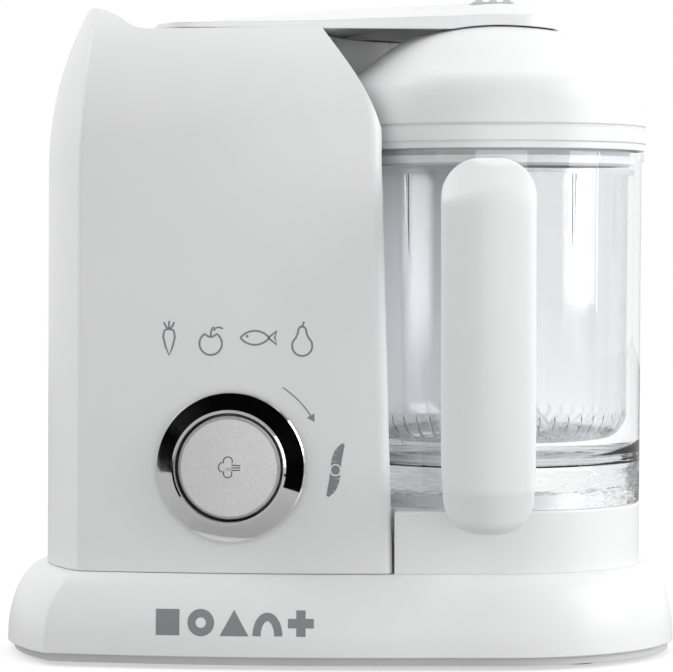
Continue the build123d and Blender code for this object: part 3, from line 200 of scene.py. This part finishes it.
OPAQUE = {
    "white_casing": dict(
        tints=((0.825, 0.83, 0.835), (0.845, 0.848, 0.85)),
        rough=(0.3, 0.42), grain=2600.0, depth=0.000006, coat=0.12, edge=0.0007,
    ),
    "white_inner": dict(
        tints=((0.66, 0.665, 0.67), (0.70, 0.70, 0.70)),
        rough=(0.42, 0.55), grain=2200.0, depth=0.00001, edge=0.0004,
    ),
    "silicone": dict(
        tints=((0.84, 0.85, 0.86), (0.88, 0.885, 0.89)),
        rough=(0.4, 0.5), grain=1200.0, depth=0.00002,
    ),
    "dark_plastic": dict(
        tints=((0.02, 0.02, 0.022), (0.035, 0.035, 0.037)),
        rough=(0.45, 0.6), grain=2400.0, depth=0.00003,
    ),
    "rubber": dict(
        tints=((0.06, 0.06, 0.063), (0.085, 0.085, 0.088)),
        rough=(0.7, 0.85), grain=1500.0, depth=0.00004,
    ),
    "chrome_ring": dict(
        tints=((0.80, 0.80, 0.81), (0.84, 0.84, 0.85)),
        rough=(0.03, 0.06), grain=900.0, depth=0.000002, metallic=1.0,
    ),
    "satin_button": dict(
        tints=((0.74, 0.74, 0.74), (0.82, 0.82, 0.82)),
        rough=(0.36, 0.52), grain=2400.0, depth=0.00006, metallic=0.8, cloud=1200.0,
    ),
    "stainless": dict(
        tints=((0.55, 0.55, 0.56), (0.63, 0.63, 0.63)),
        rough=(0.18, 0.34), grain=1800.0, depth=0.00001, metallic=1.0, stretch=(1, 1, 0.05),
    ),
    "steel": dict(
        tints=((0.42, 0.42, 0.43), (0.52, 0.52, 0.52)),
        rough=(0.28, 0.45), grain=1500.0, depth=0.00002, metallic=1.0,
    ),
    "aluminium": dict(
        tints=((0.58, 0.58, 0.59), (0.68, 0.68, 0.68)),
        rough=(0.35, 0.5), grain=1200.0, depth=0.00004, metallic=1.0,
    ),
    "laminations": dict(
        tints=((0.16, 0.155, 0.15), (0.24, 0.235, 0.23)),
        rough=(0.4, 0.6), grain=2000.0, depth=0.00006, metallic=1.0, stretch=(0.05, 0.05, 1),
    ),
    "copper": dict(
        tints=((0.60, 0.33, 0.18), (0.70, 0.42, 0.24)),
        rough=(0.22, 0.4), grain=1600.0, depth=0.00002, metallic=1.0,
    ),
    "carbon": dict(
        tints=((0.02, 0.02, 0.02), (0.04, 0.04, 0.04)),
        rough=(0.5, 0.7), grain=2500.0, depth=0.00003,
    ),
    "circuit_board": dict(
        tints=((0.01, 0.11, 0.04), (0.015, 0.16, 0.06)),
        rough=(0.3, 0.45), grain=900.0, depth=0.00003,
    ),
    "components": dict(
        tints=((0.03, 0.03, 0.035), (0.06, 0.06, 0.065)),
        rough=(0.4, 0.6), grain=1800.0, depth=0.00003,
    ),
    "wire_sleeve": dict(
        tints=((0.60, 0.58, 0.52), (0.68, 0.66, 0.60)),
        rough=(0.5, 0.65), grain=1500.0, depth=0.00003,
    ),
}
FINISHES = {name: surface(name, **look) for name, look in OPAQUE.items()}
FINISHES["clear_bowl"] = clear(
    "clear_bowl", colour=(0.985, 0.99, 0.995),
    rough=(0.0, 0.02), grain=90.0, depth=0.000004, foot_top=BOWL_FLOOR - 0.001,
)
FINISHES["clear_basket"] = clear(
    "clear_basket", colour=(0.985, 0.985, 0.99), rough=(0.04, 0.12), grain=300.0, depth=0.00001
)
PRINT = surface(
    "printed_grey", tints=((0.235, 0.25, 0.262), (0.26, 0.275, 0.288)),
    rough=(0.45, 0.55), grain=1800.0, depth=0.000004,
)

for part in frame["record"]["subparts"]:
    node = NODES[part["node"]]
    node.data.materials.clear()
    node.data.materials.append(FINISHES[part["material_slot"]])


# Moulded handle -----------------------------------------------------------------------------------
HANDLE_TURN = math.radians(-4.0)  # round the bowl, from straight ahead
HALF_WIDTH = 0.018
VOXEL = 0.0008
# Each change to the grip's shape: how much, where it starts and over what distance it grows
CROWN, CROWN_FROM, CROWN_OVER = 0.006, 0.0135, 0.0125  # the front falls back at its sides
TAPER, TAPER_FROM, TAPER_OVER = 0.06, 0.088, 0.034  # a little narrower towards the foot
FOOT_RISE, FOOT_FROM, FOOT_OVER = 0.0045, 0.022, 0.02  # the foot's lower corners are rounded
# The thumb facet: how far under the top its crease lies, how that tilts, and the facet's slope
FACET_DROP, FACET_TILT, FACET_SLOPE = 0.0145, 0.16, 0.75


def smoothstep(value):
    """0 below 0, 1 above 1 and an even S between them."""
    value = max(0.0, min(1.0, value))
    return value * value * (3 - 2 * value)


def moulded_handle():
    """The grip with a crowned front, a sloped thumb facet and soft edges, from the CAD solid."""
    grip = bpy.data.objects.new("handle_grip", NODES["bowl_handle"].data.copy())
    bpy.context.collection.objects.link(grip)
    grip.data.materials.clear()
    grip.data.materials.append(FINISHES["white_casing"])
    remesh = grip.modifiers.new("remesh", "REMESH")
    remesh.mode = "VOXEL"
    remesh.voxel_size = VOXEL
    graph = bpy.context.evaluated_depsgraph_get()
    grip.data = bpy.data.meshes.new_from_object(grip.evaluated_get(graph))
    grip.modifiers.clear()

    # The shaping is done with the handle turned to face straight ahead
    axis = Vector((BOWL_X, 0, 0))
    turn = Matrix.Rotation(-HANDLE_TURN, 4, "Z")
    ahead = Matrix.Translation(axis) @ turn @ Matrix.Translation(-axis)
    back = ahead.inverted()
    local = [ahead @ vertex.co for vertex in grip.data.vertices]
    front = min(point.y for point in local)
    top = max(point.z for point in local)
    foot = min(point.z for point in local)
    for vertex, point in zip(grip.data.vertices, local):
        across = point.x - BOWL_X
        aside = (across / HALF_WIDTH) ** 2
        point.y += CROWN * smoothstep((front + CROWN_FROM - point.y) / CROWN_OVER) * aside
        crease = top - FACET_DROP + FACET_TILT * across
        if point.z > crease:
            facet = front + CROWN * aside + (point.z - crease) * FACET_SLOPE
            point.y = max(point.y, facet)
        point.x -= TAPER * smoothstep((TAPER_FROM - point.z) / TAPER_OVER) * across
        point.z += FOOT_RISE * smoothstep((foot + FOOT_FROM - point.z) / FOOT_OVER) * aside
        vertex.co = back @ point
    smooth = grip.modifiers.new("smooth", "SMOOTH")
    smooth.factor = 0.5
    smooth.iterations = 14
    for polygon in grip.data.polygons:
        polygon.use_smooth = True
    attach(grip, "bowl")
    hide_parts("bowl_handle")


moulded_handle()


# Ribs round the steam basket ----------------------------------------------------------------------
CORNER_RADIUS = 0.012  # of the rounded corner between the basket's wall and its floor
CORNER_OUT = 0.0416  # from the basket's axis to the centre of that corner
RIB_SUNK = 0.00005  # the ribs' middle lines lie this far inside the wall
RIB_START, RIB_END = 4, 76  # degrees round the corner, from the wall down
RIB_TIP = 0.15  # thickness of the ends as a share of the middle's
RIB_RISE = 0.8  # how far a rib stands out as a share of half its width


def rib_rings(centre, radius, steps, sides):
    """Half-round sections of one rib along the corner, thin at both ends."""
    rings = []
    for step in range(steps):
        share = step / (steps - 1)
        bend = math.radians(RIB_START + (RIB_END - RIB_START) * share)
        thick = radius * (RIB_TIP + (1 - RIB_TIP) * math.sin(math.pi * share) ** 0.6)
        outward = Vector((math.cos(bend), 0, -math.sin(bend)))
        middle = centre + outward * (CORNER_RADIUS - RIB_SUNK)
        ring = []
        for side in range(sides):
            angle = math.pi * side / (sides - 1)
            point = middle + outward * thick * RIB_RISE * math.sin(angle)
            point.y = thick * math.cos(angle)
            ring.append(point)
        rings.append(ring)
    return rings


def basket_ribs(count=54, radius=0.0006, steps=9, sides=7):
    """Slim rounded ribs round the lower corner of the steam basket, like scallops in its wall."""
    centre = Vector((CORNER_OUT, 0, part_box("steam_basket")[0].z + CORNER_RADIUS))
    axis = Matrix.Translation((BOWL_X, 0, 0))
    work = bmesh.new()
    for index in range(count):
        turn = axis @ Matrix.Rotation(math.tau * index / count, 4, "Z")
        rings = [
            [work.verts.new(turn @ point) for point in ring]
            for ring in rib_rings(centre, radius, steps, sides)
        ]
        for near, far in zip(rings, rings[1:]):
            for side in range(sides):
                other = (side + 1) % sides
                work.faces.new((near[side], near[other], far[other], far[side]))
        work.faces.new(list(reversed(rings[0])))
        work.faces.new(rings[-1])
    bmesh.ops.recalc_face_normals(work, faces=work.faces)
    for face in work.faces:
        face.smooth = True
    mesh = bpy.data.meshes.new("basket_ribs")
    work.to_mesh(mesh)
    work.free()
    ribs = bpy.data.objects.new("basket_ribs", mesh)
    bpy.context.collection.objects.link(ribs)
    mesh.materials.append(FINISHES["clear_basket"])
    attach(ribs, "bowl")


basket_ribs()


# Drawing of flat marks, in millimetres ------------------------------------------------------------
def stroke(points, width, closed=False):
    """Flat ribbon along a 2-D line, as pieces of quad corners."""
    points = [Vector(point) for point in points]
    count = len(points)
    sides = []
    for index, point in enumerate(points):
        before = points[(index - 1) % count] if closed or index else point
        after = points[(index + 1) % count] if closed or index < count - 1 else point
        along = (after - before).normalized()
        across = Vector((-along.y, along.x)) * width / 2
        sides.append((point + across, point - across))
    steps = range(count if closed else count - 1)
    return [(*sides[i], *reversed(sides[(i + 1) % count])) for i in steps]


def arc(centre, radius, start, end, steps=24, squash=1.0):
    """Points along an arc between two angles in degrees, its height scaled by squash."""
    made = []
    for index in range(steps + 1):
        angle = math.radians(start + (end - start) * index / steps)
        made.append(
            (centre[0] + radius * math.cos(angle), centre[1] + radius * squash * math.sin(angle))
        )
    return made


def filled(points):
    """One flat piece with these corners."""
    return [tuple(Vector(point) for point in points)]


def tapered(points, widths):
    """Filled band along a line whose width changes from point to point."""
    made = []
    for (a, first), (b, second) in zip(zip(points, widths), zip(points[1:], widths[1:])):
        a, b = Vector(a), Vector(b)
        along = (b - a).normalized()
        across = Vector((-along.y, along.x))
        made.append(
            (
                a + across * first / 2,
                a - across * first / 2,
                b - across * second / 2,
                b + across * second / 2,
            )
        )
    return made


def moved(faces, x, z):
    """The same pieces with their origin at x, z."""
    return [tuple(Vector((corner[0] + x, corner[1] + z)) for corner in face) for face in faces]


# Laying marks on the surface ----------------------------------------------------------------------
LONGEST_EDGE = 1.2  # mm, so that a mark can follow a curved surface
WELD = 0.001  # mm
RAY_START = 0.03  # how far in front of the flat mark the search for the surface starts
PRINT_LIFT, OVERPRINT_LIFT, ENGRAVED_LIFT = 0.00005, 0.00009, 0.00002
BUTTON_FRONT = 0.006  # from the knob's centre out to just in front of the button
INWARD = Vector((0, 1, 0))
FRONT_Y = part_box("tower_shell")[0].y
KNOB_AT = Vector(JOINTS["knob_turn"]["pos_m"])
KNOB_IN = Vector(JOINTS["knob_turn"]["axis"]).normalized()
KNOB_RIGHT = Vector((KNOB_IN.y, -KNOB_IN.x, 0))


def printed(name, faces, node, to_space, into, lift, finish, body):
    """Thin mark made of 2-D faces in millimetres, laid on a node's surface along direction into."""
    target = BVHTree.FromObject(NODES[node], bpy.context.evaluated_depsgraph_get())
    mesh = bpy.data.meshes.new(name)
    mark = bmesh.new()
    for corners in faces:
        mark.faces.new([mark.verts.new((corner[0], corner[1], 0)) for corner in corners])
    bmesh.ops.remove_doubles(mark, verts=mark.verts, dist=WELD)
    bmesh.ops.triangulate(mark, faces=mark.faces)
    for _ in range(4):
        long_edges = [edge for edge in mark.edges if edge.calc_length() > LONGEST_EDGE]
        bmesh.ops.subdivide_edges(mark, edges=long_edges, cuts=1)
        bmesh.ops.triangulate(mark, faces=mark.faces)
    for vertex in mark.verts:
        start = to_space(vertex.co.x / 1000, vertex.co.y / 1000)
        hit = target.ray_cast(start - into * RAY_START, into)[0]
        vertex.co = (hit or start) - into * lift
    bmesh.ops.recalc_face_normals(mark, faces=mark.faces)
    for face in mark.faces:
        face.smooth = True
        if face.normal.dot(into) > 0:
            face.normal_flip()
    mark.to_mesh(mesh)
    mark.free()
    mesh.materials.append(finish)
    made = bpy.data.objects.new(name, mesh)
    bpy.context.collection.objects.link(made)
    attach(made, body)


def on_front(x, z):
    """A point at the machine's foremost depth."""
    return Vector((x, FRONT_Y, z))


def on_button(x, z):
    """A point just in front of the button, from the knob's centre."""
    return KNOB_AT + KNOB_RIGHT * x + Vector((0, 0, z)) - KNOB_IN * BUTTON_FRONT


def front_mark(name, faces, node="tower_shell", lift=PRINT_LIFT, finish=PRINT):
    """A mark on the front of the machine's body."""
    printed(name, faces, node, on_front, INWARD, lift, finish, "machine")


# The marks ----------------------------------------------------------------------------------------
# An arrow round the knob's upper right
KNOB_X, KNOB_Z = KNOB_AT.x * 1000, KNOB_AT.z * 1000
ARROW_R = 36.9
arrow_line = arc((KNOB_X, KNOB_Z), ARROW_R, 57.0, 32.5)
tip = Vector(arc((KNOB_X, KNOB_Z), ARROW_R, 28.4, 28.4, 1)[0])
heel = Vector(arrow_line[-1])
aim = (tip - heel).normalized()
wing = Vector((-aim.y, aim.x)) * 1.7
arrow = stroke(arrow_line, 0.5)
arrow += filled([heel - aim * 0.3 + wing, heel - aim * 0.3 - wing, tip])
front_mark("turn_arrow", arrow)

# A two-winged blade with a ring round its hub, on the knob's right
BLADE_AT = (KNOB_X + 40.6, KNOB_Z - 1.1)
BLADE_LINE = [(0.2, 1.2), (0.3, 3.2), (0.8, 5.4), (1.6, 7.6), (3.1, 10.2)]
BLADE_WIDTHS = [4.0, 4.0, 3.8, 3.2, 1.1]
blade = tapered(BLADE_LINE, BLADE_WIDTHS)
blade += tapered([(-x, -z) for x, z in BLADE_LINE], BLADE_WIDTHS)
blade += filled(arc((0, 0), 1.7, 0, 352, 22))
front_mark("blade_mark", moved(blade, *BLADE_AT))
hub = stroke(arc((0, 0), 2.1, 0, 350, 24), 0.55, True)
front_mark(
    "blade_mark_ring", moved(hub, *BLADE_AT), lift=OVERPRINT_LIFT, finish=FINISHES["white_casing"]
)

# A carrot, an apple, a fish and a pear as thin line drawings
LINE = 0.75
FOOD_Z = 127.0
CARROT_SIDE = [(1.9, 3.4), (2.3, 1.2), (1.4, -2.6)]
carrot_outline = [(-x, z) for x, z in CARROT_SIDE] + [(0, -6)] + CARROT_SIDE[::-1]
carrot = stroke(carrot_outline, LINE)
carrot += stroke(arc((0, 3.2), 1.95, 8, 172, 12, 0.5), LINE)
carrot += stroke([(0, 4.2), (0, 7.4)], LINE)
for side in (-1, 1):
    carrot += stroke([(0.5 * side, 4.3), (1.5 * side, 5.6), (2.0 * side, 6.9)], LINE)
apple = stroke(arc((0, -1.4), 4.4, 118, 422, 40), LINE)
apple += stroke(arc((0, 3.6), 2.4, 216, 324, 10), LINE)
apple += stroke([(0, 1.5), (0.2, 3.6), (1.1, 5.2)], LINE)
apple += stroke(arc((3.1, 3.9), 1.7, 200, 20, 12, 0.6), LINE * 0.9)
fish = stroke(arc((0, -3.6), 7.2, 39, 141, 20), LINE)
fish += stroke(arc((0, 5.4), 7.2, 219, 321, 20), LINE)
fish += stroke([(5.2, 0.9), (8.6, 3.6), (7.7, 0.9), (8.6, -1.8), (5.2, 0.9)], LINE)
fish += filled(arc((-3.0, 1.5), 0.55, 0, 340, 12))
pear = stroke(arc((0, -2.2), 3.9, 132, 408, 34), LINE)
pear += stroke([(-2.6, 0.7), (-1.75, 2.6), (-1.5, 3.8)], LINE)
pear += stroke(arc((0, 3.8), 1.5, 180, 0, 12), LINE)
pear += stroke([(1.5, 3.8), (1.75, 2.6), (2.6, 0.7)], LINE)
pear += stroke([(0, 5.3), (0.7, 7.2)], LINE)
for name, faces, x in (
    ("carrot_mark", carrot, -66.5),
    ("apple_mark", apple, -50.2),
    ("fish_mark", fish, -33.0),
    ("pear_mark", pear, -14.6),
):
    front_mark(name, moved(faces, x, FOOD_Z))

# Five chunky play-block shapes on the plinth
BLOCKS_X, BLOCKS_Z, BLOCK_PITCH = -66.6, 18.2, 12.9
block = filled([(-4.6, -5), (4.6, -5), (4.6, 5), (-4.6, 5)])
ball = stroke(arc((0, 0), 3.6, 0, 350, 36), 3.2, True)
wedge = filled([(-5.6, -5), (5.6, -5), (0, 5)])
bridge = stroke(arc((0, -4.9), 4.2, 180, 0, 24, 1.75), 3.2)
plus = filled([(-1.8, -5), (1.8, -5), (1.8, 5), (-1.8, 5)])
plus += filled([(-5, -1.8), (-1.8, -1.8), (-1.8, 1.8), (-5, 1.8)])
plus += filled([(1.8, -1.8), (5, -1.8), (5, 1.8), (1.8, 1.8)])
for index, faces in enumerate((block, ball, wedge, bridge, plus)):
    mark = moved(faces, BLOCKS_X + BLOCK_PITCH * index, BLOCKS_Z)
    front_mark(f"play_block_{index + 1}", mark, "plinth_skirt")

# Engraved puff of steam with three jets on the button
ENGRAVED_LINE = 0.42
puff = stroke(arc((-0.4, 2.5), 1.75, -25, 205, 18), ENGRAVED_LINE)
puff += stroke(arc((-2.2, 0.2), 1.9, 100, 260, 14), ENGRAVED_LINE)
puff += stroke(arc((-0.5, -2.2), 1.65, 150, 385, 18), ENGRAVED_LINE)
for height in (1.05, 0.0, -1.05):
    puff += stroke([(1.0, height), (4.4, height * 0.8)], ENGRAVED_LINE)
ENGRAVED = FINISHES["components"]
printed("steam_mark", puff, "button_cap", on_button, KNOB_IN, ENGRAVED_LIFT, ENGRAVED, "button")


# Studio -------------------------------------------------------------------------------------------
FLOOR_GLOW = 0.6


def studio_floor(size):
    """Plain white paper, bright enough to leave only a faint shade round the machine's foot."""
    mesh = bpy.data.meshes.new("studio_floor")
    sheet = bmesh.new()
    bmesh.ops.create_grid(sheet, x_segments=8, y_segments=8, size=size / 2)
    sheet.to_mesh(mesh)
    sheet.free()
    floor = bpy.data.objects.new("studio_floor", mesh)
    bpy.context.collection.objects.link(floor)
    paper = surface(
        "floor_paper", tints=((0.43, 0.43, 0.43), (0.45, 0.45, 0.45)),
        rough=(0.8, 0.9), grain=700.0, depth=0.00001,
    )
    # It glows only for what is seen directly or through the clear bowl, not as a light
    tree = paper.node_tree
    ray = tree.nodes.new("ShaderNodeLightPath").outputs
    seen = maths(tree, "MAXIMUM", ray["Is Camera Ray"], ray["Is Transmission Ray"])
    shader = found(tree, "BSDF_PRINCIPLED")
    shader.inputs["Emission Color"].default_value = (1, 1, 1, 1)
    glow = maths(tree, "MULTIPLY", seen, FLOOR_GLOW)
    tree.links.new(glow, shader.inputs["Emission Strength"])
    mesh.materials.append(paper)


def studio_world():
    """A white tent, dimmer on the camera's side, a little brighter above, and seen as white."""
    world = bpy.data.worlds.new("studio")
    bpy.context.scene.world = world
    world.use_nodes = True
    tree = world.node_tree
    tree.nodes.clear()
    place = tree.nodes.new("ShaderNodeTexCoord")
    parts = tree.nodes.new("ShaderNodeSeparateXYZ")
    tree.links.new(place.outputs["Generated"], parts.inputs["Vector"])
    far_side = ramp(tree, parts.outputs["Y"], -1.0, 0.2, 0.40, 0.98)
    above = ramp(tree, parts.outputs["Z"], 0.1, 1.0, 0.0, 0.06)
    tent = tree.nodes.new("ShaderNodeBackground")
    tree.links.new(maths(tree, "ADD", far_side, above), tent.inputs["Color"])
    paper = tree.nodes.new("ShaderNodeBackground")
    paper.inputs["Color"].default_value = (1, 1, 1, 1)
    seen = tree.nodes.new("ShaderNodeLightPath").outputs["Is Camera Ray"]
    output = tree.nodes.new("ShaderNodeOutputWorld")
    tree.links.new(mixed(tree, seen, tent, paper), output.inputs["Surface"])


def dark_arch(gap=0.152, reach=0.6, near=-0.04, far=-0.62):
    """A dark card bent over the front of the set, seen only in polished metal and plastic.

    It stands gap on either side of the knob, bends round it at reach, and runs towards the camera.
    """
    above_floor = 0.001 - KNOB_AT.z
    line = [(gap, above_floor), *arc((0, 0), reach, -7, 187, 48), (-gap, above_floor)]
    mesh = bpy.data.meshes.new("dark_arch")
    card = bmesh.new()
    rows = []
    for x, z in line:
        rim = KNOB_AT + Vector((x, 0, z))
        rows.append([card.verts.new(rim + Vector((0, y, 0))) for y in (near, far)])
    for first, second in zip(rows, rows[1:]):
        card.faces.new((first[0], first[1], second[1], second[0]))
    card.to_mesh(mesh)
    card.free()
    made = bpy.data.objects.new("dark_arch", mesh)
    bpy.context.collection.objects.link(made)
    black = surface(
        "black_card", tints=((0.001, 0.001, 0.001), (0.002, 0.002, 0.002)),
        rough=(0.9, 1.0), grain=400.0, depth=0.00002,
    )
    shader = found(black.node_tree, "BSDF_PRINCIPLED")
    shader.inputs["Specular IOR Level"].default_value = 0.0
    mesh.materials.append(black)
    made.visible_camera = False
    made.visible_diffuse = False
    made.visible_transmission = False
    made.visible_shadow = False


def softbox(name, place, aim, width, height, power):
    """A soft rectangular light at place that faces the point aim."""
    light = bpy.data.lights.new(name, "AREA")
    light.shape = "RECTANGLE"
    light.size = width
    light.size_y = height
    light.energy = power
    made = bpy.data.objects.new(name, light)
    made.location = place
    made.rotation_euler = (Vector(aim) - Vector(place)).to_track_quat("-Z", "Y").to_euler()
    bpy.context.collection.objects.link(made)


studio_floor(6.0)
studio_world()
dark_arch()
# Name, place, the point it faces, width, height and watts
softbox("key_right", (1.5, -0.5, 0.7), (0.03, 0, 0.13), 0.8, 1.3, 15)
softbox("side_left", (-1.5, -0.1, 1.3), (-0.05, 0, 0.2), 0.8, 1.0, 7)
softbox("top", (0.0, 0.05, 1.6), (0.0, 0, 0.2), 1.2, 1.2, 0.8)
softbox("front", (0.15, -1.7, 0.1), (0.02, 0, 0.18), 1.2, 0.7, 5)

# A long lens a little above the machine's middle, looking very slightly down
camera = bpy.data.objects.new("camera", bpy.data.cameras.new("camera"))
bpy.context.collection.objects.link(camera)
camera.location = (-0.0013, -1.3, 0.162)
camera.rotation_euler = (math.radians(90 - 1.54), 0, 0)
camera.data.lens = 171.3
camera.data.sensor_width = 36.0
camera.data.clip_start = 0.05
bpy.context.scene.camera = camera
bpy.context.scene.view_settings.view_transform = "Standard"
